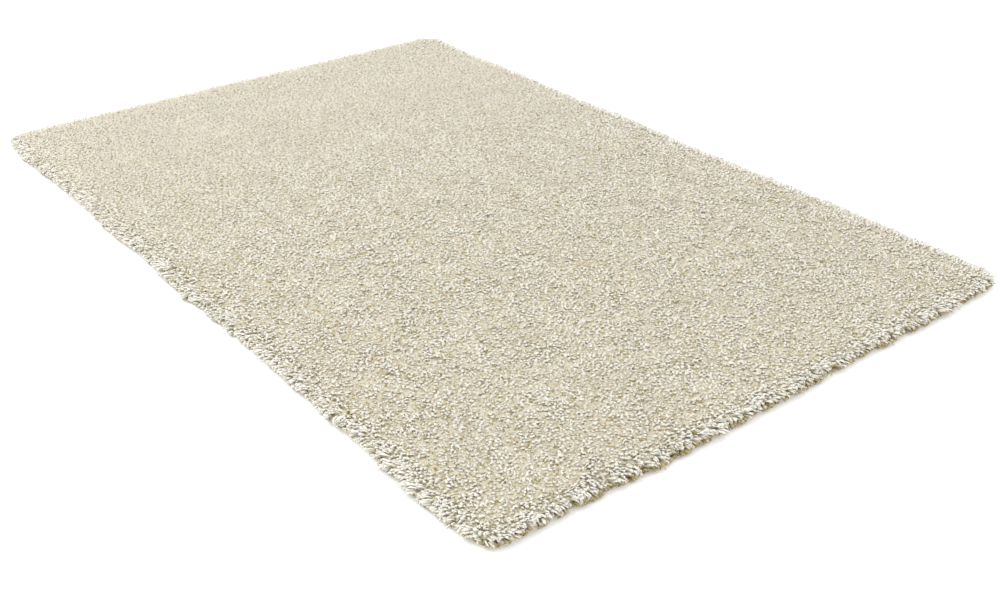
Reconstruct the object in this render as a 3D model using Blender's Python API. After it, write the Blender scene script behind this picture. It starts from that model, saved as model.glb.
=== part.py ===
"""Shag rug, 160 x 240 cm: one woven pile cloth, lying flat.

The solid is the room that the cloth and its pile fill. It has a flat underside, a rim where
the outermost tufts splay out and down to the floor, a rounded shoulder and a level crown.
"""

import math
from collections import namedtuple

import bmesh
import bpy

PART_NAME = "rug"
COLLECTION_NAME = "shag_rug"

# Driving dimensions, in metres. The long sides run along X.
CLOTH_LENGTH = 2.400
CLOTH_WIDTH = 1.600
PILE_LEAN = 0.015  # how far the outermost tufts lean out past the woven cloth
CORNER_RADIUS = 0.060  # the leaning pile rounds each corner
CORNER_STEPS = 8
SIDE_STEP = 0.040  # spacing of the outline's points along a side

# The rim's section, from the sole up to the crown: height over the floor, and how far in
# from the furthest reach of the pile.
RimRow = namedtuple("RimRow", "height inset")
RIM = (
    RimRow(height=0.0000, inset=0.0120),
    RimRow(height=0.0015, inset=0.0050),
    RimRow(height=0.0050, inset=0.0012),
    RimRow(height=0.0110, inset=0.0000),
    RimRow(height=0.0180, inset=0.0015),
    RimRow(height=0.0245, inset=0.0050),
    RimRow(height=0.0300, inset=0.0110),
    RimRow(height=0.0335, inset=0.0185),
    RimRow(height=0.0350, inset=0.0280),
)

# How unevenly the pile ends along each side: the share of the way along it, running
# anticlockwise seen from above, and how far the pile stands out there.
SideRow = namedtuple("SideRow", "share out")
FRONT_LONG = (
    SideRow(share=0.00, out=0.002),
    SideRow(share=0.09, out=0.009),
    SideRow(share=0.26, out=-0.004),
    SideRow(share=0.32, out=0.006),
    SideRow(share=0.39, out=-0.002),
    SideRow(share=0.50, out=0.004),
    SideRow(share=0.65, out=-0.006),
    SideRow(share=0.80, out=0.000),
    SideRow(share=0.93, out=0.007),
    SideRow(share=1.00, out=-0.002),
)
RIGHT_SHORT = (
    SideRow(share=0.00, out=-0.002),
    SideRow(share=0.12, out=-0.005),
    SideRow(share=0.30, out=0.004),
    SideRow(share=0.52, out=0.004),
    SideRow(share=0.66, out=-0.001),
    SideRow(share=0.78, out=0.003),
    SideRow(share=1.00, out=-0.004),
)
BACK_LONG = (
    SideRow(share=0.00, out=-0.004),
    SideRow(share=0.20, out=0.007),
    SideRow(share=0.44, out=-0.003),
    SideRow(share=0.56, out=0.005),
    SideRow(share=0.66, out=-0.006),
    SideRow(share=0.80, out=0.000),
    SideRow(share=0.90, out=-0.006),
    SideRow(share=1.00, out=0.000),
)
LEFT_SHORT = (
    SideRow(share=0.00, out=0.008),
    SideRow(share=0.15, out=0.006),
    SideRow(share=0.38, out=0.002),
    SideRow(share=0.52, out=0.005),
    SideRow(share=0.70, out=-0.002),
    SideRow(share=0.88, out=-0.004),
    SideRow(share=1.00, out=-0.006),
)

# A side of the rug: where it starts, the way it runs, the way it faces, its length and rows.
Side = namedtuple("Side", "start along out length rows")

# A point of the outline, and the direction that faces straight out of the rug there.
Entry = namedtuple("Entry", "point facing")


def clear_scene():
    """Remove whatever objects the file opened with."""
    for old in list(bpy.data.objects):
        bpy.data.objects.remove(old)


def pile_material():
    """Cream wool-like yarn: matt and pale."""
    material = bpy.data.materials.new("cream_pile")
    material.use_nodes = True
    shader = material.node_tree.nodes["Principled BSDF"]
    shader.inputs["Base Color"].default_value = (0.68, 0.62, 0.49, 1.0)
    shader.inputs["Roughness"].default_value = 0.95
    shader.inputs["Metallic"].default_value = 0.0
    return material


def stands_out(share, rows):
    """How far the pile stands out at a share of a side, eased smoothly from row to row."""
    for before, after in zip(rows, rows[1:]):
        if share <= after.share:
            part = (share - before.share) / (after.share - before.share)
            eased = part * part * (3.0 - 2.0 * part)
            return before.out + (after.out - before.out) * eased
    return rows[-1].out


def sides():
    """The four sides, anticlockwise from the front left corner of the nominal rectangle."""
    half_length = CLOTH_LENGTH / 2 + PILE_LEAN
    half_width = CLOTH_WIDTH / 2 + PILE_LEAN
    return (
        Side((-half_length, -half_width), (1, 0), (0, -1), 2 * half_length, FRONT_LONG),
        Side((half_length, -half_width), (0, 1), (1, 0), 2 * half_width, RIGHT_SHORT),
        Side((half_length, half_width), (-1, 0), (0, 1), 2 * half_length, BACK_LONG),
        Side((-half_length, half_width), (0, -1), (-1, 0), 2 * half_width, LEFT_SHORT),
    )


def side_point(side, travelled, stand):
    """A point some way along a side, standing out from it."""
    x = side.start[0] + side.along[0] * travelled + side.out[0] * stand
    y = side.start[1] + side.along[1] * travelled + side.out[1] * stand
    return (x, y)


def straight_run(side):
    """The outline between a side's two rounded corners."""
    run = side.length - 2 * CORNER_RADIUS
    steps = round(run / SIDE_STEP)
    entries = []
    for step in range(steps + 1):
        travelled = CORNER_RADIUS + run * step / steps
        stand = stands_out(travelled / side.length, side.rows)
        entries.append(Entry(side_point(side, travelled, stand), side.out))
    return entries


def corner(side, following):
    """The outline round the corner at a side's end, as far as the following side's run."""
    middle = side_point(side, side.length - CORNER_RADIUS, -CORNER_RADIUS)
    first = stands_out(1.0 - CORNER_RADIUS / side.length, side.rows)
    last = stands_out(CORNER_RADIUS / following.length, following.rows)
    entries = []
    for step in range(1, CORNER_STEPS):
        part = step / CORNER_STEPS
        across = math.cos(part * math.pi / 2)
        ahead = math.sin(part * math.pi / 2)
        facing = (
            side.out[0] * across + side.along[0] * ahead,
            side.out[1] * across + side.along[1] * ahead,
        )
        reach = CORNER_RADIUS + first + (last - first) * part
        point = (middle[0] + facing[0] * reach, middle[1] + facing[1] * reach)
        entries.append(Entry(point, facing))
    return entries


def outline():
    """The furthest reach of the pile, anticlockwise from the front left corner."""
    ring = sides()
    entries = []
    for side, following in zip(ring, ring[1:] + ring[:1]):
        entries.extend(straight_run(side))
        entries.extend(corner(side, following))
    return entries


def centred(entries):
    """The same outline with the middle of its box at the origin."""
    xs = [entry.point[0] for entry in entries]
    ys = [entry.point[1] for entry in entries]
    middle_x = (min(xs) + max(xs)) / 2
    middle_y = (min(ys) + max(ys)) / 2
    return [Entry((e.point[0] - middle_x, e.point[1] - middle_y), e.facing) for e in entries]


def rim_point(entry, row):
    """Where one row of the rim's section passes one entry of the outline."""
    x = entry.point[0] - entry.facing[0] * row.inset
    y = entry.point[1] - entry.facing[1] * row.inset
    return (x, y, row.height)


def rug_mesh():
    """The closed slab: the sole's outline is extruded up the rim and capped at both ends."""
    entries = centred(outline())
    shape = bmesh.new()
    place = shape.verts.layers.int.new("place")
    ring = [shape.verts.new(rim_point(entry, RIM[0])) for entry in entries]
    for index, vert in enumerate(ring):
        vert[place] = index
    sole = shape.faces.new(ring)
    edges = list(sole.edges)
    for row in RIM[1:]:
        grown = bmesh.ops.extrude_edge_only(shape, edges=edges)["geom"]
        for vert in (item for item in grown if isinstance(item, bmesh.types.BMVert)):
            vert.co = rim_point(entries[vert[place]], row)
        edges = [item for item in grown if isinstance(item, bmesh.types.BMEdge) and item.is_boundary]
    bmesh.ops.contextual_create(shape, geom=edges)
    bmesh.ops.recalc_face_normals(shape, faces=shape.faces)
    mesh = bpy.data.meshes.new(PART_NAME)
    shape.to_mesh(mesh)
    shape.free()
    return mesh


def build():
    """Make the rug's one object in a collection of its own."""
    clear_scene()
    collection = bpy.data.collections.new(COLLECTION_NAME)
    bpy.context.scene.collection.children.link(collection)
    mesh = rug_mesh()
    mesh.materials.append(pile_material())
    mesh.shade_smooth()
    mesh.set_sharp_from_angle(angle=math.radians(50.0))
    collection.objects.link(bpy.data.objects.new(PART_NAME, mesh))


build()
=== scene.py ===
import math

import bmesh
import bpy
import numpy as np
from bpy.props import FloatProperty, FloatVectorProperty, IntProperty, PointerProperty
from bpy.types import Operator, Panel, PropertyGroup
from mathutils import Matrix, Vector


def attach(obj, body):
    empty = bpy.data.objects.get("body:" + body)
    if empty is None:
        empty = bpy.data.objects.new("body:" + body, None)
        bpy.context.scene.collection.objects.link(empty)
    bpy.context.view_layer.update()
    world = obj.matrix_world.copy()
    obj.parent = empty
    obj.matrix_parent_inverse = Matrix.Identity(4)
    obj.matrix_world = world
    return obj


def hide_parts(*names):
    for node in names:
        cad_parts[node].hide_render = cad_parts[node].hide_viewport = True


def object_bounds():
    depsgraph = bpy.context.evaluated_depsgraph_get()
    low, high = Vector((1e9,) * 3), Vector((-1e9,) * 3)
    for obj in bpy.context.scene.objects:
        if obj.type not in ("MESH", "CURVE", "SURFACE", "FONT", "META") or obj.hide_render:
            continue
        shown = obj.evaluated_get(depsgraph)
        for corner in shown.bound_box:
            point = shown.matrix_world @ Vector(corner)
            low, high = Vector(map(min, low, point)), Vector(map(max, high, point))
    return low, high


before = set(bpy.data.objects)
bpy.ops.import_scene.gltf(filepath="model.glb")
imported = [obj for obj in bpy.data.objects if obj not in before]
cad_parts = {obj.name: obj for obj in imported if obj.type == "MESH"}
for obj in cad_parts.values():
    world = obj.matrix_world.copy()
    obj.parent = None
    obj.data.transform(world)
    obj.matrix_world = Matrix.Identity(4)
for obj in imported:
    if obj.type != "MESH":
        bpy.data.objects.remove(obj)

bl_info = {
    "name": "Shag Rug",
    "version": (1, 0, 0),
    "blender": (4, 5, 0),
    "location": "View3D > Sidebar > Shag Rug",
    "description": "Covers the rug's solid with a deep cut pile over a woven ground cloth",
    "category": "Object",
}

NODE = "rug"
BODY = "root"
UV_MAP = "OFBake"

# The solid's box, taken before anything is added to it.
CAD_LOW, CAD_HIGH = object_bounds()

TOP = CAD_HIGH.z  # the crown of the pile
CLOTH_INSET = 0.015  # the pile leans this far out past the woven cloth
CLEARANCE = 0.0003  # gap between pieces that lie on each other
TINY = 1e-9  # the least length that is divided by


# ---------------------------------------------------------------------------
# The rug's outline, read from its solid
# ---------------------------------------------------------------------------


def reach_outline():
    """The furthest reach of the pile, anticlockwise, as rows of x and y."""
    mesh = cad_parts[NODE].data
    points = np.empty(len(mesh.vertices) * 3, np.float32)
    mesh.vertices.foreach_get("co", points)
    points = np.unique(points.reshape(-1, 3).round(5), axis=0)
    heights = np.unique(points[:, 2])
    widths = [np.ptp(points[points[:, 2] == height, 0]) for height in heights]
    ring = points[points[:, 2] == heights[int(np.argmax(widths))], :2]
    turn = np.arctan2(ring[:, 1] / np.ptp(ring[:, 1]), ring[:, 0] / np.ptp(ring[:, 0]))
    return ring[np.argsort(turn)].astype(float)


def outward(ring):
    """The direction that faces out of a closed anticlockwise ring at each of its points."""
    along = np.roll(ring, -1, axis=0) - np.roll(ring, 1, axis=0)
    along /= np.linalg.norm(along, axis=1)[:, None]
    return np.stack([along[:, 1], -along[:, 0]], axis=1)


def inset_ring(ring, distance):
    """A closed ring moved in by a distance."""
    return ring - outward(ring) * distance


def depth_inside(points, ring):
    """How deep each point lies inside a ring, and the way out of the ring from there."""
    runs = np.roll(ring, -1, axis=0) - ring
    lengths = (runs**2).sum(axis=1)
    depth = np.full(len(points), np.inf)
    facing = np.zeros((len(points), 2))
    for start, run, length in zip(ring, runs, lengths):
        share = np.clip(((points - start) @ run) / length, 0.0, 1.0)
        gap = start + share[:, None] * run - points
        distance = np.hypot(gap[:, 0], gap[:, 1])
        nearer = distance < depth
        depth[nearer] = distance[nearer]
        facing[nearer] = gap[nearer] / np.maximum(distance[nearer], TINY)[:, None]
    side = np.zeros(len(points), bool)
    for start, end in zip(ring, np.roll(ring, -1, axis=0)):
        crosses = (start[1] > points[:, 1]) != (end[1] > points[:, 1])
        if not crosses.any():
            continue
        rise = end[1] - start[1]
        meets = start[0] + (points[:, 1] - start[1]) * (end[0] - start[0]) / rise
        side ^= crosses & (points[:, 0] < meets)
    return np.where(side, depth, -depth), np.where(side[:, None], facing, -facing)


# ---------------------------------------------------------------------------
# Materials
# ---------------------------------------------------------------------------


class Value:
    """A number in a node tree. Python's sums and products on it add Math nodes."""

    def __init__(self, finish, socket):
        self.finish = finish
        self.socket = socket

    def math(self, operation, *values):
        settings = {"operation": operation}
        node = self.finish.add("ShaderNodeMath", settings, dict(enumerate(values)))
        return Value(self.finish, node.outputs[0])

    def __add__(self, other):
        return self.math("ADD", self, other)

    def __radd__(self, other):
        return self.math("ADD", other, self)

    def __rsub__(self, other):
        return self.math("SUBTRACT", other, self)

    def __mul__(self, other):
        return self.math("MULTIPLY", self, other)

    def __rmul__(self, other):
        return self.math("MULTIPLY", other, self)

    def sine(self):
        return self.math("SINE", self)

    def between(self, low, high):
        """0 below low, 1 above high and smooth from one to the other."""
        settings = {"interpolation_type": "SMOOTHSTEP"}
        sockets = {"Value": self, "From Min": low, "From Max": high}
        node = self.finish.add("ShaderNodeMapRange", settings, sockets)
        return Value(self.finish, node.outputs["Result"])


class Finish:
    """A Principled material, built one node at a time."""

    def __init__(self, name, **constants):
        self.material = bpy.data.materials.new(name)
        self.material.use_nodes = True
        self.tree = self.material.node_tree
        self.shader = self.tree.nodes["Principled BSDF"]
        for socket, value in constants.items():
            self.shader.inputs[socket.replace("_", " ")].default_value = value

    def add(self, kind, settings=None, sockets=None):
        """A node of a kind: its settings first, then the values or links of its sockets."""
        node = self.tree.nodes.new(kind)
        for name, value in (settings or {}).items():
            if name == "stops":
                self.set_stops(node.color_ramp, value)
            else:
                setattr(node, name, value)
        for name, value in (sockets or {}).items():
            self.feed(node.inputs[name], value)
        return node

    def feed(self, socket, value):
        """Link a socket to a value or a socket, or set it to a number or a colour."""
        if isinstance(value, Value):
            value = value.socket
        if isinstance(value, bpy.types.NodeSocket):
            self.tree.links.new(value, socket)
        else:
            socket.default_value = value

    def set_stops(self, ramp, stops):
        """Give a colour ramp these stops, each a place and a colour."""
        while len(ramp.elements) < len(stops):
            ramp.elements.new(1.0)
        for element, (place, colour) in zip(ramp.elements, stops):
            element.position = place
            element.color = colour

    def mix(self, share, first, second, blend="MIX"):
        """A colour on the way from first to second."""
        settings = {"data_type": "RGBA", "blend_type": blend}
        sockets = {"Factor": share, 6: first, 7: second}
        return self.add("ShaderNodeMix", settings, sockets).outputs[2]

    def ramp(self, share, stops):
        """A colour read from stops along 0 to 1."""
        return self.add("ShaderNodeValToRGB", {"stops": stops}, {"Fac": share}).outputs["Color"]

    def noise(self, vector, scale, detail, roughness):
        """Cloudy noise, about 0 to 1."""
        sockets = {"Vector": vector, "Scale": scale, "Detail": detail, "Roughness": roughness}
        return Value(self, self.add("ShaderNodeTexNoise", None, sockets).outputs["Fac"])

    def bump(self, height, distance, strength):
        """A normal that leans with a height."""
        sockets = {"Height": height, "Distance": distance, "Strength": strength}
        return self.add("ShaderNodeBump", None, sockets).outputs["Normal"]

    def axes(self, vector):
        """The three numbers of a vector."""
        node = self.add("ShaderNodeSeparateXYZ", None, {0: vector})
        return [Value(self, output) for output in node.outputs]

    def uv(self):
        """The piece's own map."""
        return self.axes(self.add("ShaderNodeUVMap", {"uv_map": UV_MAP}).outputs["UV"])

    def place(self):
        """The Object coordinates, in metres."""
        return self.add("ShaderNodeTexCoord").outputs["Object"]


def rgba(colour):
    """A property's colour with its alpha."""
    return (*colour, 1.0)


def yarn_finish(name, settings):
    """Matt cream yarn: across the map it runs from dull yarn and painted shade to bright yarn, up the
    map from the root to the tip.
    """
    finish = Finish(
        name,
        Specular_IOR_Level=0.2,
        Sheen_Weight=settings.sheen,
        Sheen_Tint=rgba(settings.sheen_colour),
        Sheen_Roughness=0.5,
    )
    tone, rise, _ = finish.uv()
    # The khaki root is partly the yarn's own colour and partly painted shade low in the pile.
    stops = (
        (0.00, rgba(settings.root_colour)),
        (0.25, rgba(settings.middle_colour)),
        (0.60, rgba(settings.tip_colour)),
    )
    along = finish.ramp(rise, stops)
    # Tone below 1 darkens toward the dull tint: for yarn that is dull by chance, and for painted
    # shade.
    dull_and_shaded = finish.mix(1.0, along, rgba(settings.dull_and_shade_tint), "MULTIPLY")
    finish.feed(finish.shader.inputs["Base Color"], finish.mix(tone, dull_and_shaded, along))
    finish.feed(finish.shader.inputs["Roughness"], 0.85 - 0.1 * rise)
    twist = (rise * (2 * math.pi * TWISTS)).sine()
    finish.feed(finish.shader.inputs["Normal"], finish.bump(twist, distance=0.0006, strength=0.3))
    return finish.material


def bed_finish(name, settings):
    """A felt of crowded yarn, painted darker than the tips for the shade between the ends, with small
    pits of painted shade here and there.
    """
    finish = Finish(name, Specular_IOR_Level=0.1)
    place = finish.place()
    fluff = finish.noise(place, scale=150.0, detail=4.0, roughness=0.7)
    cover = fluff.between(0.34, 0.56)
    # Painted shade: dark pits where the noise is low.
    colour = finish.mix(cover, rgba(settings.pit_shade_colour), rgba(settings.felt_colour))
    finish.feed(finish.shader.inputs["Base Color"], colour)
    finish.feed(finish.shader.inputs["Roughness"], 0.9 + 0.1 * fluff)
    finish.feed(finish.shader.inputs["Normal"], finish.bump(fluff, distance=0.003, strength=0.8))
    return finish.material


def cloth_finish(name, settings):
    """A plain weave of thick jute weft and thin cotton warp."""
    finish = Finish(name, Specular_IOR_Level=0.15, Sheen_Weight=0.1, Sheen_Roughness=0.6)
    place = finish.place()
    along, across, _ = finish.axes(place)
    weft = (along * (2 * math.pi / settings.weft_pitch)).sine()
    warp = (across * (2 * math.pi / settings.warp_pitch)).sine()
    over = (weft * warp).between(-0.5, 0.5)
    fibre = finish.noise(place, scale=900.0, detail=3.0, roughness=0.6)
    slub = finish.noise(place, scale=24.0, detail=2.0, roughness=0.5)
    jute = finish.mix(slub, rgba(settings.weft_colour), rgba(settings.pale_weft_colour))
    threads = finish.mix(over, jute, rgba(settings.warp_colour))
    shaded = finish.mix(0.35 * fibre, threads, rgba(settings.shade_colour), "MULTIPLY")
    finish.feed(finish.shader.inputs["Base Color"], shaded)
    finish.feed(finish.shader.inputs["Roughness"], 0.85 + 0.12 * fibre)
    height = 0.6 * over + 0.3 * weft + 0.15 * fibre
    finish.feed(finish.shader.inputs["Normal"], finish.bump(height, distance=0.0008, strength=0.8))
    return finish.material


# ---------------------------------------------------------------------------
# Sizes and colours that a user may change
# ---------------------------------------------------------------------------


def length_property(name, description, default):
    """A length in metres."""
    return FloatProperty(
        name=name, description=description, default=default, unit="LENGTH", precision=4
    )


def colour_property(name, description, default):
    """A colour, in linear red, green and blue."""
    return FloatVectorProperty(
        name=name, description=description, default=default, size=3, subtype="COLOR",
        min=0.0, max=1.0,
    )


class RUG_PG_cloth(PropertyGroup):
    """The woven ground cloth."""

    width: length_property("Width", "Woven width of the cloth", 1.60)
    length: length_property("Length", "Woven length of the cloth", 2.40)
    thickness: length_property("Thickness", "Thickness of the woven cloth", 0.0018)
    weft_pitch: length_property("Weft pitch", "Width of two weft threads side by side", 0.0075)
    warp_pitch: length_property("Warp pitch", "Width of two warp threads side by side", 0.0056)
    weft_colour: colour_property("Weft", "Darker jute weft", (0.36, 0.27, 0.16))
    pale_weft_colour: colour_property("Pale weft", "Paler jute weft", (0.47, 0.37, 0.24))
    warp_colour: colour_property("Warp", "Cotton warp", (0.60, 0.54, 0.42))
    shade_colour: colour_property("Shade", "Shade between fibres", (0.45, 0.38, 0.28))


class RUG_PG_pile(PropertyGroup):
    """The cut pile."""

    spacing: length_property("Spacing", "Distance between neighbouring yarn ends", 0.0074)
    rim_spacing: length_property("Rim spacing", "Distance between yarn ends round the rim", 0.0080)
    yarn_radius: length_property("Yarn radius", "Radius of the bulked yarn", 0.0034)
    smoothing: FloatProperty(
        name="Smoothing", description="How much evener the pile lies at the rug's left end",
        default=0.9, subtype="FACTOR",
    )
    comb: length_property("Comb", "How far the pile leans over in broad drifts", 0.0015)
    tuft_size: length_property("Tuft size", "Width of the tufts along the rim", 0.022)
    tangle: length_property("Tangle", "How far each end strays on its own", 0.0075)
    nap_along: length_property("Nap along", "How far the whole pile leans along the rug", 0.0030)
    nap_across: length_property("Nap across", "How far the pile leans across the rug", -0.0020)
    lock_lean: length_property("Lock lean", "How far the ends of a lock lean together", 0.0035)
    lock_size: length_property("Lock size", "Width of a lock of ends that lean together", 0.021)
    bed_height: length_property("Bed height", "Height of the felt of crowded yarn", 0.0296)
    sheen: FloatProperty(
        name="Sheen", description="Soft glow of the loose fibres", default=0.60, subtype="FACTOR"
    )
    seed: IntProperty(name="Seed", description="Picks another lay of the same pile", default=7)
    # The root colour is partly the yarn's own and partly painted shade low in the pile.
    root_colour: colour_property("Root", "Yarn where it leaves the cloth", (0.44, 0.35, 0.15))
    middle_colour: colour_property("Middle", "Yarn a quarter of the way up", (0.875, 0.83, 0.71))
    tip_colour: colour_property("Tip", "Cut ends of the yarn", (0.90, 0.87, 0.79))
    sheen_colour: colour_property("Sheen tint", "Glow of the loose fibres", (0.90, 0.865, 0.76))
    # The dull tint is both the dullest yarn and the colour of painted shade.
    dull_and_shade_tint: colour_property("Dull tint", "Tint of the dullest yarn", (0.38, 0.29, 0.08))
    # The felt is painted darker than the yarn for the shade between the ends, and the pits are
    # painted shade.
    felt_colour: colour_property("Felt", "Crowded yarn between the ends", (0.60, 0.55, 0.435))
    pit_shade_colour: colour_property("Pit", "Shaded yarn in the pits of the felt", (0.24, 0.18, 0.05))


class RUG_PG_stage(PropertyGroup):
    """The floor, the light and the camera."""

    camera_place: FloatVectorProperty(
        name="Camera", description="Where the camera stands", default=(2.510, -1.824, 1.469),
        subtype="TRANSLATION", unit="LENGTH",
    )
    camera_turn: FloatProperty(
        name="Turn", description="How far the view turns left from the back of the rug",
        default=math.radians(51.31), subtype="ANGLE", unit="ROTATION",
    )
    camera_dip: FloatProperty(
        name="Dip", description="How far the camera looks down",
        default=math.radians(29.74), subtype="ANGLE", unit="ROTATION",
    )
    camera_roll: FloatProperty(
        name="Roll", description="How far the camera tilts over to its left",
        default=math.radians(0.30), subtype="ANGLE", unit="ROTATION",
    )
    lens: FloatProperty(
        name="Lens", description="Focal length on a 36 mm sensor", default=44.06,
        subtype="DISTANCE_CAMERA",
    )
    floor_colour: colour_property("Floor", "Plain pale floor", (0.97, 0.97, 0.97))
    floor_glow: FloatProperty(
        name="Floor glow", description="Light that the floor gives off by itself", default=0.17
    )
    sky_strength: FloatProperty(name="Sky", description="Light from all round", default=1.28)
    key_power: FloatProperty(
        name="Key light", description="Large soft lamp over the rug's front left", default=118.0,
        subtype="POWER", unit="POWER",
    )
    light_colour: colour_property("Light", "Colour of the sky and the lamp", (0.97, 0.98, 1.0))


# ---------------------------------------------------------------------------
# The woven ground cloth
# ---------------------------------------------------------------------------


def new_piece(name, mesh, material):
    """Put a mesh in the scene as a piece that rides with the rug."""
    piece = bpy.data.objects.new(name, mesh)
    bpy.context.scene.collection.objects.link(piece)
    mesh.materials.append(material)
    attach(piece, BODY)
    return piece


def flat_slab(name, ring, low, high, slope=0.0, fall=0.0, rounding=0.0):
    """A slab with the outline of a ring. Its top may fall off toward an edge that is rounded."""
    shape = bmesh.new()
    sole = shape.faces.new([shape.verts.new((x, y, low)) for x, y in ring])
    raised = bmesh.ops.extrude_face_region(shape, geom=[sole])["geom"]
    top = [item for item in raised if isinstance(item, bmesh.types.BMVert)]
    bmesh.ops.translate(shape, verts=top, vec=(0.0, 0.0, high - fall - low))
    bmesh.ops.recalc_face_normals(shape, faces=shape.faces)
    if rounding:
        rim = [edge for edge in shape.edges if all(vert in top for vert in edge.verts)]
        crown = [face for face in shape.faces if all(vert in top for vert in face.verts)]
        bmesh.ops.inset_region(shape, faces=crown, thickness=slope, depth=fall)
        bmesh.ops.bevel(
            shape, geom=rim, offset=rounding, segments=BED_BEVEL_CUTS, profile=0.5, affect="EDGES"
        )
    mesh = bpy.data.meshes.new(name)
    shape.to_mesh(mesh)
    shape.free()
    return mesh


class RUG_OT_weave_cloth(Operator):
    """Weave the flat ground cloth that the pile stands on"""

    bl_idname = "rug.weave_cloth"
    bl_label = "Weave Ground Cloth"

    def execute(self, context):
        settings = context.scene.rug_cloth
        ring = inset_ring(reach_outline(), CLOTH_INSET)
        mesh = flat_slab("ground_cloth", ring, 0.0, settings.thickness)
        cloth = new_piece(
            "ground_cloth", mesh, cloth_finish("woven_ground_cloth", settings)
        )
        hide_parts(NODE)
        return {"FINISHED"}


# ---------------------------------------------------------------------------
# The pile
# ---------------------------------------------------------------------------

PILE_PIECES = 6
STRAND_SIDES = 3
FIELD_KINDS = 12
RIM_KINDS = 8
KIND_SEED = 100  # each kind of strand draws its own shape
TWISTS = 7  # turns of the yarn's ply from root to tip
SWELL = (0.86, 1.16)  # how much thinner or thicker a ring may be, by chance
RING_TURN = (0.2, 0.9)  # how far a ring is turned, in radians
RING_SHIFT = (-0.3, 0.3)  # how far it is moved aside, in radii
MERGE_WITHIN = 1e-4
STRAND_DEPTH = 0.62  # yarn ends are pressed into flat ovals where they lie on each other
STRAND_BREADTH = 1.25
BED_ROUNDING = 0.008
BED_BEVEL_CUTS = 5
BED_SLOPE = 0.035  # the bed falls away over this width toward the rim
BED_FALL = 0.0055  # and by this much

# A strand's rings going up: their share of its length, and their radius against the yarn's.
FIELD_RINGS = (
    (0.00, 0.80),
    (0.72, 1.12),
)
RIM_RINGS = (
    (0.00, 0.65),
    (0.52, 0.95),
    (0.86, 1.10),
)

# A tone runs from 0, the dullest yarn, to 1, the brightest; painted shade lowers it.
TONE_WIDTH = 0.004  # width on the map of one strand's faces
UNDERSIDE_SHADE_FROM = 0.2  # painted shade darkens a strand below this height over its middle, in radii
UNDERSIDE_SHADE = 0.72  # by this much a radius lower
DEEP_SHADE_FROM = 0.0034  # painted shade darkens yarn inside the border this far below the crown
DEEP_SHADE_OVER = 0.0034  # and it is darkest this much further down
DEEP_SHADE = 0.4  # by this much


def strand_shape(kind):
    """One cut yarn end standing on the origin, 1 unit long and 1 unit in radius.

    It starts as a small disc, which is drawn up ring by ring and closed in a blunt tip.
    Returns its points, its faces and their places on the map, as arrays.
    """
    rings = FIELD_RINGS if kind < FIELD_KINDS else RIM_RINGS
    draw = np.random.default_rng(KIND_SEED + kind)
    shape = bmesh.new()
    map_layer = shape.loops.layers.uv.new(UV_MAP)
    base = bmesh.ops.create_circle(
        shape, segments=STRAND_SIDES, radius=rings[0][1], cap_ends=True
    )["verts"]
    edges = list({edge for vert in base for edge in vert.link_edges})
    height, radius = rings[0]
    for share, wide in rings[1:] + ((1.0, 0.0),):
        grown = bmesh.ops.extrude_edge_only(shape, edges=edges)["geom"]
        ring = [item for item in grown if isinstance(item, bmesh.types.BMVert)]
        edges = [
            item for item in grown
            if isinstance(item, bmesh.types.BMEdge) and all(v in ring for v in item.verts)
        ]
        bmesh.ops.translate(shape, verts=ring, vec=(0.0, 0.0, share - height))
        swell = wide / radius * draw.uniform(*SWELL)
        bmesh.ops.scale(shape, verts=ring, vec=(swell, swell, 1.0))
        turn = Matrix.Rotation(draw.uniform(*RING_TURN), 3, "Z")
        bmesh.ops.rotate(shape, verts=ring, cent=(0.0, 0.0, 0.0), matrix=turn)
        shift = (draw.uniform(*RING_SHIFT), draw.uniform(*RING_SHIFT), 0.0)
        bmesh.ops.translate(shape, verts=ring, vec=shift)
        radius, height = wide, share
    bmesh.ops.remove_doubles(shape, verts=ring, dist=MERGE_WITHIN)
    bmesh.ops.recalc_face_normals(shape, faces=shape.faces)
    shape.verts.index_update()
    for face in shape.faces:
        for loop in face.loops:
            point = loop.vert.co
            side = 0.5 + math.atan2(point.y, point.x) / (2 * math.pi)
            loop[map_layer].uv = (side * TONE_WIDTH, point.z)
    points = np.array([vert.co[:] for vert in shape.verts])
    faces = [[vert.index for vert in face.verts] for face in shape.faces]
    places = np.array([loop[map_layer].uv[:] for face in shape.faces for loop in face.loops])
    shape.free()
    return points, faces, places


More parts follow.
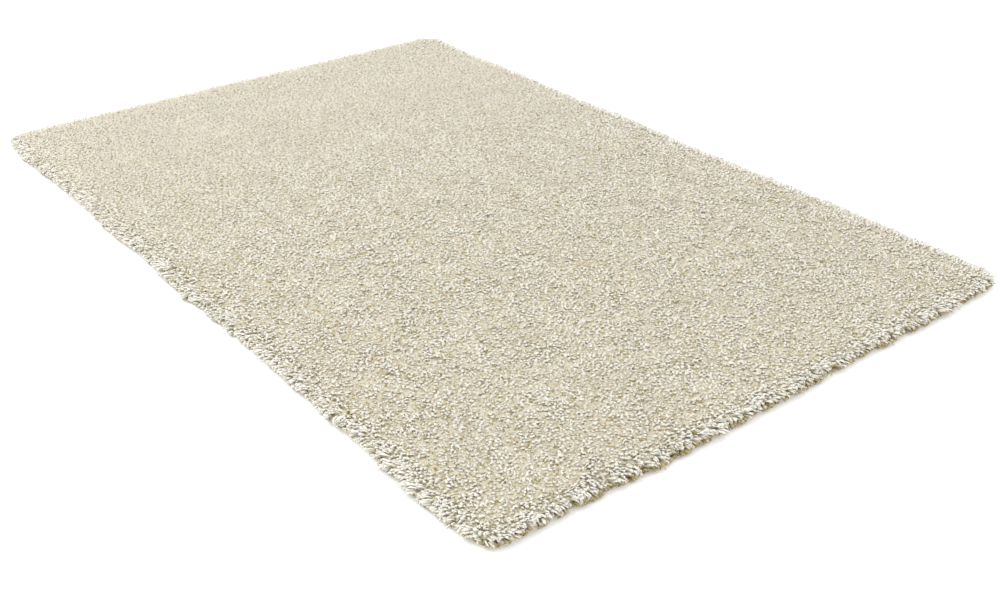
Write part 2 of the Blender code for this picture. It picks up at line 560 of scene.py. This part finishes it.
def joined_strands(name, strands, pick):
    """One mesh of many strands, each one of the kinds, bent along its own curve."""
    points_out, loops_out, sizes_out, places_out = [], [], [], []
    total = 0
    for kind in range(FIELD_KINDS + RIM_KINDS):
        chosen = pick[strands["kind"][pick] == kind]
        points, faces, places = strand_shape(kind)
        bent, lift = bend(points, {key: value[chosen] for key, value in strands.items()})
        count = len(chosen)
        corners = np.array([corner for face in faces for corner in face])
        # Painted shade: each strand's underside, and yarn deep below the crown, move toward the dull
        # end of the map.
        under = UNDERSIDE_SHADE * np.maximum(UNDERSIDE_SHADE_FROM - lift, 0.0) ** 2
        deep = DEEP_SHADE * np.clip((TOP - DEEP_SHADE_FROM - bent[:, :, 2]) / DEEP_SHADE_OVER, 0.0, 1.0)
        shaded_tone = (
            strands["tone"][chosen][:, None]
            - strands["under"][chosen][:, None] * under
            - strands["deep"][chosen][:, None] * deep
        )
        tone = np.clip(shaded_tone, 0.0, 1.0)[:, corners]
        starts = total + np.arange(count) * len(points)
        loops_out.append((starts[:, None] + corners).ravel())
        sizes_out.append(np.tile([len(face) for face in faces], count))
        shift = np.zeros((count, len(corners), 2))
        shift[:, :, 0] = TONE_WIDTH + tone * (1 - 3 * TONE_WIDTH)
        places_out.append((places[None] + shift).reshape(-1, 2))
        points_out.append(bent.reshape(-1, 3))
        total += count * len(points)
    return mesh_of(
        name,
        np.concatenate(points_out),
        np.concatenate(loops_out),
        np.concatenate(sizes_out),
        np.concatenate(places_out),
    )


def mesh_of(name, points, loops, sizes, places):
    """A smooth mesh from joined arrays."""
    mesh = bpy.data.meshes.new(name)
    mesh.vertices.add(len(points))
    mesh.vertices.foreach_set("co", points.astype(np.float32).ravel())
    mesh.loops.add(len(loops))
    mesh.loops.foreach_set("vertex_index", loops.astype(np.int32))
    mesh.polygons.add(len(sizes))
    mesh.polygons.foreach_set("loop_start", (np.cumsum(sizes) - sizes).astype(np.int32))
    mesh.uv_layers.new(name=UV_MAP)
    mesh.uv_layers[UV_MAP].data.foreach_set("uv", places.astype(np.float32).ravel())
    mesh.update(calc_edges=True)
    mesh.shade_smooth()
    return mesh


def bend(points, strands):
    """Copies of a strand's points, each copy laid along its root, elbow and tip.

    Also returns how far each point is above the strand's own middle, in radii.
    """
    root, elbow, tip = strands["root"], strands["elbow"], strands["tip"]
    rise = points[:, 2][None, :, None]
    curve = (
        (1 - rise) ** 2 * root[:, None]
        + 2 * rise * (1 - rise) * elbow[:, None]
        + rise**2 * tip[:, None]
    )
    along = 2 * (1 - rise) * (elbow - root)[:, None] + 2 * rise * (tip - elbow)[:, None]
    along /= np.linalg.norm(along, axis=2)[:, :, None]
    lean = (tip - root)[:, :2]
    lean /= np.maximum(np.linalg.norm(lean, axis=1), TINY)[:, None]
    flat = np.stack([-lean[:, 1], lean[:, 0], np.zeros(len(lean))], axis=1)[:, None]
    front = np.cross(flat, along)
    spin = strands["spin"][:, None]
    across = points[None, :, 0] * np.cos(spin) - points[None, :, 1] * np.sin(spin)
    beside = points[None, :, 0] * np.sin(spin) + points[None, :, 1] * np.cos(spin)
    radius = strands["radius"][:, None]
    bent = (
        curve
        + front * (across * radius * STRAND_DEPTH)[:, :, None]
        + flat * (beside * radius * STRAND_BREADTH)[:, :, None]
    )
    return bent, across * front[:, :, 2]


def jittered_grid(draw, low, high, spacing, jitter):
    """Points on a staggered grid, each moved a little at random."""
    row_gap = spacing * math.sqrt(3) / 2
    columns = np.arange(low[0], high[0] + spacing, spacing)
    rows = np.arange(low[1], high[1] + row_gap, row_gap)
    x, y = np.meshgrid(columns, rows)
    x = x + (np.arange(len(rows)) % 2)[:, None] * spacing / 2
    points = np.stack([x.ravel(), y.ravel()], axis=1)
    return points + draw.normal(0.0, jitter * spacing, points.shape)


def nearest(points, centres, reach):
    """The index of the nearest centre to each point, where none is further than reach."""
    low = centres.min(axis=0) - reach
    cell = np.floor((centres - low) / reach).astype(int)
    size = cell.max(axis=0) + 3
    order = np.argsort((cell[:, 0] + 1) * size[1] + cell[:, 1] + 1, kind="stable")
    keys = ((cell[:, 0] + 1) * size[1] + cell[:, 1] + 1)[order]
    home = np.clip(np.floor((points - low) / reach).astype(int) + 1, 1, size - 2)
    best = np.zeros(len(points), int)
    best_gap = np.full(len(points), np.inf)
    for step_x in (-1, 0, 1):
        for step_y in (-1, 0, 1):
            key = (home[:, 0] + step_x) * size[1] + home[:, 1] + step_y
            first = np.searchsorted(keys, key, "left")
            last = np.searchsorted(keys, key, "right")
            for offset in range(int((last - first).max())):
                valid = first + offset < last
                index = order[np.minimum(first + offset, len(order) - 1)]
                gap = np.hypot(*(points - centres[index]).T)
                better = valid & (gap < best_gap)
                best[better] = index[better]
                best_gap[better] = gap[better]
    return best


def waves(draw, points, longest, shortest, count):
    """A smooth random number at each point, about -1 to 1, from crossing waves."""
    total = np.zeros(len(points))
    for _ in range(count):
        size = math.exp(draw.uniform(math.log(shortest), math.log(longest)))
        angle = draw.uniform(0.0, 2 * math.pi)
        phase = draw.uniform(0.0, 2 * math.pi)
        way = np.array([math.cos(angle), math.sin(angle)]) * 2 * math.pi / size
        total += np.sin(points @ way + phase)
    return total / math.sqrt(count / 2)


def pointing(angle, length):
    """Flat arrows of these lengths that point at these angles."""
    return np.column_stack([np.cos(angle), np.sin(angle)]) * length[:, None]


def eased(share):
    """0 below 0, 1 above 1 and smooth between."""
    share = np.clip(share, 0.0, 1.0)
    return share * share * (3 - 2 * share)


ROOT_HEIGHT = 0.0025  # where the yarn leaves the cloth
RIM_EDGE = 0.001  # the lowest yarn of the rim is rooted this far in from the cloth's edge
RIM_ROOTS = 0.020  # and the highest this far
RIM_CENTRE_IN = 0.013  # the middle of the rim's rounded section, in from the cloth's edge
RIM_REACH = 0.028  # its width
RIM_FOOT = 0.013  # the height where it stands out furthest
RIM_ROWS = 13
RIM_LOWEST = math.radians(-42)
RIM_HIGHEST = math.radians(86)
CLIMB_JITTER = math.radians(5)
STEP_JITTER = 0.25  # in steps from one strand to the next
GATHER = (0.15, 0.45, 0.45)  # how far the ends of each tier of tufts lean to their tuft's middle
RIM_TIERS = len(GATHER)
RIM_TUCK = 0.16  # the foot is tucked in by this share
RIM_TUCK_OVER = math.radians(30)  # and comes out over this climb
RIM_DRIFT = 0.07  # how far long stretches of the rim stand out or in, as a share
RIM_WAVES = (0.20, 0.06, 16)  # longest and shortest of those stretches, and how many waves
TUFT_PROUD = 0.17  # how far single tufts stand out or in
STRAND_PROUD = 0.05  # and single strands
RIM_CALM = 0.7  # how much evener the rim is at its top
TUFT_STRAY = 0.2  # how far a tuft's middle strays along the rim, in tufts
TUFT_SWAY = 0.005  # how far a tuft leans along the rim
RIM_GIRTH = (0.80, 0.11)  # usual radius of a strand against the yarn's, and its spread
RIM_FLOP = (math.radians(36), math.radians(6))  # usual climb from its tip to its bend, and spread
ELBOW_FAN = 0.3  # how far a strand has fanned out where it bends, as a share
WISPS = 0.18  # share of the strands that are loose wisps
WISP_TIER = (0.28, 0.56)  # where they stand, from 0 at the rim's foot to 1 at its top
WISP_REACH = (0.08, 0.45)  # how far they stand out
WISP_GIRTH = 0.65
RIM_SHADED_TONE = 0.16  # tone at the foot, darkened by painted shade
RIM_LIT_TONE = 0.96  # tone further up, where it is lit
RIM_SHADE_TOP = math.radians(-40)  # how high the painted shade of the foot reaches on most sides
RIM_SHADE_RIGHT = math.radians(36)  # and how much higher on the right end, which faces away from the lamp
RIM_SHADE_OVER = math.radians(34)  # the yarn brightens over this climb above it
PROUD_LIGHT = 1.6  # painted light: how much brighter what stands out is
PROUD_LIMIT = 0.2
# painted light: how much brighter the loose wisps are
WISP_LIGHT = 0.2
RIM_TONE_SPREAD = 0.08


def rim_grid(draw, cloth_ring, spacing):
    """Where each yarn end of the rim stands along the cloth's edge, and how high it points."""
    length = np.linalg.norm(np.roll(cloth_ring, -1, axis=0) - cloth_ring, axis=1).sum()
    count = round(length / spacing)
    climbs, places = [], []
    for row in range(RIM_ROWS):
        climb = RIM_LOWEST + (RIM_HIGHEST - RIM_LOWEST) * (row + 0.5) / RIM_ROWS
        climbs.append(climb + draw.normal(0.0, CLIMB_JITTER, count))
        steps = np.arange(count) + 0.5 * (row % 2) + draw.normal(0.0, STEP_JITTER, count)
        places.append((steps / count % 1.0) * length)
    return np.concatenate(places), np.concatenate(climbs), length


def along_ring(ring, place):
    """The points at these distances round a closed ring, and the way out of it there."""
    closed = np.vstack([ring, ring[:1]])
    ways = outward(ring)
    ways = np.vstack([ways, ways[:1]])
    travelled = np.concatenate([[0.0], np.cumsum(np.linalg.norm(np.diff(closed, axis=0), axis=1))])
    place = place % travelled[-1]
    edge = np.stack([np.interp(place, travelled, closed[:, axis]) for axis in (0, 1)], axis=1)
    facing = np.stack([np.interp(place, travelled, ways[:, axis]) for axis in (0, 1)], axis=1)
    return edge, facing / np.linalg.norm(facing, axis=1)[:, None]


def rim_point(ring, place, climb, swell, radius):
    """A point on the rim's rounded section, at a climb round from the floor to the crown."""
    edge, facing = along_ring(ring, place)
    out = RIM_REACH * np.cos(climb) * swell - RIM_CENTRE_IN
    height = RIM_FOOT + (TOP - RIM_FOOT - radius) * np.sin(climb) * swell
    return np.column_stack([edge + facing * out[:, None], np.maximum(height, radius)])


def rim_tufts(draw, settings, place, share, length):
    """Each yarn end's tuft, how many tufts there are, the tuft's middle and how it gathers."""
    tufts = round(length / settings.tuft_size)
    tier = np.floor(share * (RIM_TIERS - 0.001)).astype(int)
    shifted = place / length * tufts + tier / RIM_TIERS
    tuft = np.floor(shifted).astype(int) % tufts + tier * tufts
    count = tufts * RIM_TIERS
    middle = (np.floor(shifted) + 0.5 - tier / RIM_TIERS) * length / tufts
    middle = middle + draw.normal(0.0, TUFT_STRAY * settings.tuft_size, count)[tuft]
    return tuft, count, middle, np.array(GATHER)[tier]


def plan_rim(draw, settings, cloth_ring):
    """The border's yarn ends, which come up out of the cloth and lie down over the rim."""
    place, climb, length = rim_grid(draw, cloth_ring, settings.rim_spacing)
    count = len(climb)
    radius = settings.yarn_radius * draw.normal(*RIM_GIRTH, count)
    share = np.clip((climb - RIM_LOWEST) / (RIM_HIGHEST - RIM_LOWEST), 0.0, 1.0)
    edge, facing = along_ring(cloth_ring, place)
    depth = RIM_EDGE + (RIM_ROOTS - RIM_EDGE) * share
    root = np.column_stack([edge - facing * depth[:, None], np.full(count, ROOT_HEIGHT)])
    tuft, tufts, middle, gather = rim_tufts(draw, settings, place, share, length)
    fan = (middle - place) * gather + draw.normal(0.0, settings.tangle / 2, count)
    sway = draw.normal(0.0, TUFT_SWAY, tufts)[tuft]
    drift = waves(draw, edge, *RIM_WAVES)
    tucked = 1.0 - RIM_TUCK * (1.0 - eased(climb / RIM_TUCK_OVER + 0.5))
    uneven = RIM_DRIFT * drift + draw.normal(0.0, TUFT_PROUD, tufts)[tuft]
    swell = tucked * (1.0 + uneven * (1.0 - RIM_CALM * share))
    swell = swell + draw.normal(0.0, STRAND_PROUD, count)
    wisp = draw.uniform(0.0, 1.0, count) < WISPS
    wisp &= (share > WISP_TIER[0]) & (share < WISP_TIER[1])
    swell = swell + np.where(wisp, draw.uniform(*WISP_REACH, count), 0.0)
    radius = radius * np.where(wisp, WISP_GIRTH, 1.0)
    over = climb + draw.normal(*RIM_FLOP, count)
    proud = np.clip(swell / tucked - 1.0, -PROUD_LIMIT, PROUD_LIMIT)
    # Painted shade on the rim's foot, higher on the right end, and painted light on what stands out
    # and on the wisps.
    shade_top = RIM_SHADE_TOP + RIM_SHADE_RIGHT * eased(facing[:, 0])
    lit = eased((climb - shade_top) / RIM_SHADE_OVER)
    tone = RIM_SHADED_TONE + (RIM_LIT_TONE - RIM_SHADED_TONE) * lit + PROUD_LIGHT * proud * lit
    tone = tone + np.where(wisp, WISP_LIGHT, 0.0) + draw.normal(0.0, RIM_TONE_SPREAD, count)
    return {
        "root": root,
        "elbow": rim_point(cloth_ring, place + fan * ELBOW_FAN, over, np.minimum(swell, 1.0), radius),
        "tip": rim_point(cloth_ring, place + fan + sway, climb, swell, radius),
        "radius": radius,
        "tone": tone,
        "under": np.ones(count),
        "deep": np.zeros(count),
        "kind": FIELD_KINDS + draw.integers(0, RIM_KINDS, count),
    }


FIELD_EDGE = 0.019  # the pile inside the border starts this far in from the cloth's edge
FIELD_JITTER = 0.20  # in spacings
LOCK_JITTER = 0.30
SMOOTH_FROM = 0.4  # left of this place the pile lies evener
SMOOTH_OVER = 1.4  # and it is at its evenest this much further left
SMOOTH_GIRTH = 0.25  # how much thicker yarn ends are there
COMB_WAVES = (0.50, 0.10, 14)  # longest and shortest drift of the pile, and how many waves
STRAY = (0.4, 1.5)  # how far ends stray on their own, against the tangle
OUTER_LEAN = 0.005  # how far the pile leans outwards next to the rim
OUTER_FROM = 0.098  # this starts this far in from the cloth's edge
OUTER_OVER = 0.070  # and is full this much nearer to it
GIRTH_SPREAD = 0.10  # spread of the strands' radii
LOCK_TALL = 0.0010  # spread of the locks' heights
STRAND_TALL = 0.0007  # spread of the strands' own heights
DROOP = (-0.001, 0.003)  # how far a tip hangs below its strand's crest
SHORTS = 0.07  # share of the strands that are cut short and leave a small pit
SHORT_BY = 0.0030  # where the pile is roughest
SHORT_PIT_SHADE = 0.9  # how much darker they are painted, as shade in their pit
IN_BED = 0.004  # how deep a strand's foot is in the bed
ELBOW_OUT = 0.25  # where a strand bends, as a share of its flop
ELBOW_UP = 0.0015
MOTTLE_WAVES = (0.30, 0.04, 24)  # longest and shortest patch of one tone, and how many waves
MOTTLE_TONE = 0.05  # how much the patches differ
STRAND_TONE = 0.05  # and the single strands
EVEN_TONE = 0.70  # tone of the pile where it lies evenest, painted darker in place of the shade of the pits it lacks
ROUGH_TONE = 0.99  # and where it is roughest
SUNK_SHADE = 60.0  # painted shade: how much darker a tip is for each metre that it lies lower


def plan_field(draw, settings, cloth_ring):
    """The yarn ends inside the border, which stand up in a crowd and flop over at the top."""
    low, high = cloth_ring.min(axis=0), cloth_ring.max(axis=0)
    field = jittered_grid(draw, low, high, settings.spacing, FIELD_JITTER)
    depth, facing = depth_inside(field, cloth_ring)
    kept = depth > FIELD_EDGE
    roots, depth, facing = field[kept], depth[kept], facing[kept]
    count = len(roots)
    rough = 1.0 - settings.smoothing * eased((SMOOTH_FROM - roots[:, 0]) / SMOOTH_OVER)
    centres = jittered_grid(draw, low, high, settings.lock_size, LOCK_JITTER)
    lock = nearest(roots, centres, settings.lock_size * 2)
    lock_angle = draw.uniform(0.0, 2 * math.pi, len(centres))
    lock_lean = draw.uniform(0.0, settings.lock_lean, len(centres))
    lock_tall = draw.normal(0.0, 1.0, len(centres))
    comb = np.column_stack([waves(draw, roots, *COMB_WAVES) for _ in range(2)])
    angle = draw.uniform(0.0, 2 * math.pi, count)
    stray = draw.uniform(*STRAY, count) * settings.tangle
    outer = OUTER_LEAN * eased((OUTER_FROM - depth) / OUTER_OVER)
    nap = np.array([settings.nap_along, settings.nap_across])
    flop = nap + comb * settings.comb + pointing(lock_angle, lock_lean)[lock]
    flop = flop + pointing(angle, stray) + facing * outer[:, None]
    girth = 1.0 + SMOOTH_GIRTH * (1.0 - rough)
    radius = settings.yarn_radius * girth * draw.normal(1.0, GIRTH_SPREAD, count)
    tall = LOCK_TALL * lock_tall[lock] + draw.normal(0.0, STRAND_TALL, count)
    crest = TOP - radius + tall * rough
    droop = draw.uniform(*DROOP, count) * rough
    short = (draw.uniform(0.0, 1.0, count) < SHORTS) * rough
    crest = crest - SHORT_BY * short
    foot = settings.bed_height - IN_BED - BED_FALL * np.clip(1.0 - depth / BED_SLOPE, 0.0, 1.0)
    mottle = waves(draw, roots, *MOTTLE_WAVES)
    sunk = crest - droop - (TOP - radius)
    uneven = MOTTLE_TONE * mottle + draw.normal(0.0, STRAND_TONE, count)
    # Painted shade lowers the tone where tips lie low, where strands are cut short and over the
    # evener pile; the mottle and the spread are the yarn's own.
    tone = EVEN_TONE + (ROUGH_TONE - EVEN_TONE) * rough + SUNK_SHADE * sunk
    tone = tone + uneven * rough - SHORT_PIT_SHADE * short
    return {
        "root": np.column_stack([roots, foot]),
        "elbow": np.column_stack([roots + flop * ELBOW_OUT, crest + 0.5 * droop + ELBOW_UP]),
        "tip": np.column_stack([roots + flop, crest - droop]),
        "radius": radius,
        "tone": tone,
        "under": rough,
        "deep": rough,
        "kind": draw.integers(0, FIELD_KINDS, count),
    }


def plan_strands(settings):
    """Where every yarn end stands and how it lies, as arrays with a row for each.

    "under" and "deep" are how strongly painted shade darkens its underside and its lower part.
    """
    draw = np.random.default_rng(settings.seed)
    cloth_ring = inset_ring(reach_outline(), CLOTH_INSET)
    rim = plan_rim(draw, settings, cloth_ring)
    field = plan_field(draw, settings, cloth_ring)
    strands = {key: np.concatenate([rim[key], field[key]]) for key in rim}
    strands["tone"] = np.clip(strands["tone"], 0.0, 1.0)
    strands["spin"] = draw.uniform(0.0, 2 * math.pi, len(strands["root"]))
    return strands


class RUG_OT_lay_bed(Operator):
    """Fill the foot of the pile with a felt of crowded roots"""

    bl_idname = "rug.lay_bed"
    bl_label = "Lay Pile Bed"

    def execute(self, context):
        settings = context.scene.rug_pile
        thickness = context.scene.rug_cloth.thickness
        ring = inset_ring(reach_outline(), CLOTH_INSET)
        low = thickness + CLEARANCE
        mesh = flat_slab(
            "pile_bed", ring, low, settings.bed_height, BED_SLOPE, BED_FALL, BED_ROUNDING
        )
        new_piece("pile_bed", mesh, bed_finish("shaded_roots", settings))
        return {"FINISHED"}


class RUG_OT_lay_pile(Operator):
    """Stand the cut yarn ends on the cloth, in strips that join into one pile"""

    bl_idname = "rug.lay_pile"
    bl_label = "Lay Pile"

    def execute(self, context):
        settings = context.scene.rug_pile
        strands = plan_strands(settings)
        material = yarn_finish("cream_yarn", settings)
        order = np.argsort(strands["root"][:, 0], kind="stable")
        for index, pick in enumerate(np.array_split(order, PILE_PIECES)):
            name = f"pile_strip_{index + 1}"
            mesh = joined_strands(name, strands, pick)
            new_piece(name, mesh, material)
        return {"FINISHED"}


# ---------------------------------------------------------------------------
# The stage
# ---------------------------------------------------------------------------

FLOOR_SIZE = 60.0
KEY_PLACE = (-2.4, -2.6, 4.8)
KEY_SIZE = 3.0


def lay_floor(settings):
    """A plain pale floor just under the rug."""
    shape = bmesh.new()
    bmesh.ops.create_grid(shape, x_segments=1, y_segments=1, size=FLOOR_SIZE / 2)
    bmesh.ops.translate(shape, verts=shape.verts, vec=(0.0, 0.0, -CLEARANCE))
    mesh = bpy.data.meshes.new("floor")
    shape.to_mesh(mesh)
    shape.free()
    finish = Finish(
        "pale_floor",
        Base_Color=rgba(settings.floor_colour),
        Roughness=1.0,
        Specular_IOR_Level=0.0,
        Emission_Color=rgba(settings.floor_colour),
        Emission_Strength=settings.floor_glow,
    )
    mesh.materials.append(finish.material)
    floor = bpy.data.objects.new("floor", mesh)
    bpy.context.scene.collection.objects.link(floor)


def light_stage(settings):
    """An even pale sky and one large soft lamp over the rug's front left."""
    world = bpy.data.worlds.new("studio")
    world.use_nodes = True
    sky = world.node_tree.nodes["Background"]
    sky.inputs["Color"].default_value = rgba(settings.light_colour)
    sky.inputs["Strength"].default_value = settings.sky_strength
    bpy.context.scene.world = world
    lamp = bpy.data.lights.new("key", "AREA")
    lamp.shape = "DISK"
    lamp.size = KEY_SIZE
    lamp.energy = settings.key_power
    lamp.color = settings.light_colour
    key = bpy.data.objects.new("key", lamp)
    key.location = KEY_PLACE
    key.rotation_euler = Vector(KEY_PLACE).to_track_quat("Z", "Y").to_euler()
    bpy.context.scene.collection.objects.link(key)


def place_camera(settings):
    """A camera that looks across the rug from over its front right corner."""
    lens = bpy.data.cameras.new("camera")
    lens.lens = settings.lens
    lens.clip_end = 2 * FLOOR_SIZE
    camera = bpy.data.objects.new("camera", lens)
    turn = Matrix.Rotation(settings.camera_turn, 3, "Z")
    dip = Matrix.Rotation(math.pi / 2 - settings.camera_dip, 3, "X")
    roll = Matrix.Rotation(settings.camera_roll, 3, "Z")
    camera.location = settings.camera_place
    camera.rotation_euler = (turn @ dip @ roll).to_euler()
    bpy.context.scene.collection.objects.link(camera)
    bpy.context.scene.camera = camera


class RUG_OT_set_stage(Operator):
    """Lay the floor, light it and place the camera"""

    bl_idname = "rug.set_stage"
    bl_label = "Set Stage"

    def execute(self, context):
        settings = context.scene.rug_stage
        lay_floor(settings)
        light_stage(settings)
        place_camera(settings)
        context.scene.view_settings.view_transform = "Standard"
        return {"FINISHED"}


class RUG_PT_rug(Panel):
    """The rug's sizes and colours, and a button for each step"""

    bl_idname = "RUG_PT_rug"
    bl_label = "Shag Rug"
    bl_space_type = "VIEW_3D"
    bl_region_type = "UI"
    bl_category = "Shag Rug"

    def draw(self, context):
        groups = (
            (context.scene.rug_stage, ("rug.set_stage",)),
            (context.scene.rug_cloth, ("rug.weave_cloth",)),
            (context.scene.rug_pile, ("rug.lay_bed", "rug.lay_pile")),
        )
        for settings, steps in groups:
            box = self.layout.box()
            for name in type(settings).__annotations__:
                box.prop(settings, name)
            for step in steps:
                box.operator(step)


CLASSES = (
    RUG_PG_cloth,
    RUG_PG_pile,
    RUG_PG_stage,
    RUG_OT_set_stage,
    RUG_OT_weave_cloth,
    RUG_OT_lay_bed,
    RUG_OT_lay_pile,
    RUG_PT_rug,
)
GROUPS = {"rug_cloth": RUG_PG_cloth, "rug_pile": RUG_PG_pile, "rug_stage": RUG_PG_stage}


def register():
    for cls in CLASSES:
        bpy.utils.register_class(cls)
    for name, group in GROUPS.items():
        setattr(bpy.types.Scene, name, PointerProperty(type=group))


def unregister():
    for name in GROUPS:
        delattr(bpy.types.Scene, name)
    for cls in reversed(CLASSES):
        bpy.utils.unregister_class(cls)


def main():
    """Make the whole rug and its stage."""
    register()
    bpy.ops.rug.set_stage()
    bpy.ops.rug.weave_cloth()
    bpy.ops.rug.lay_bed()
    bpy.ops.rug.lay_pile()


if __name__ == "__main__":
    main()
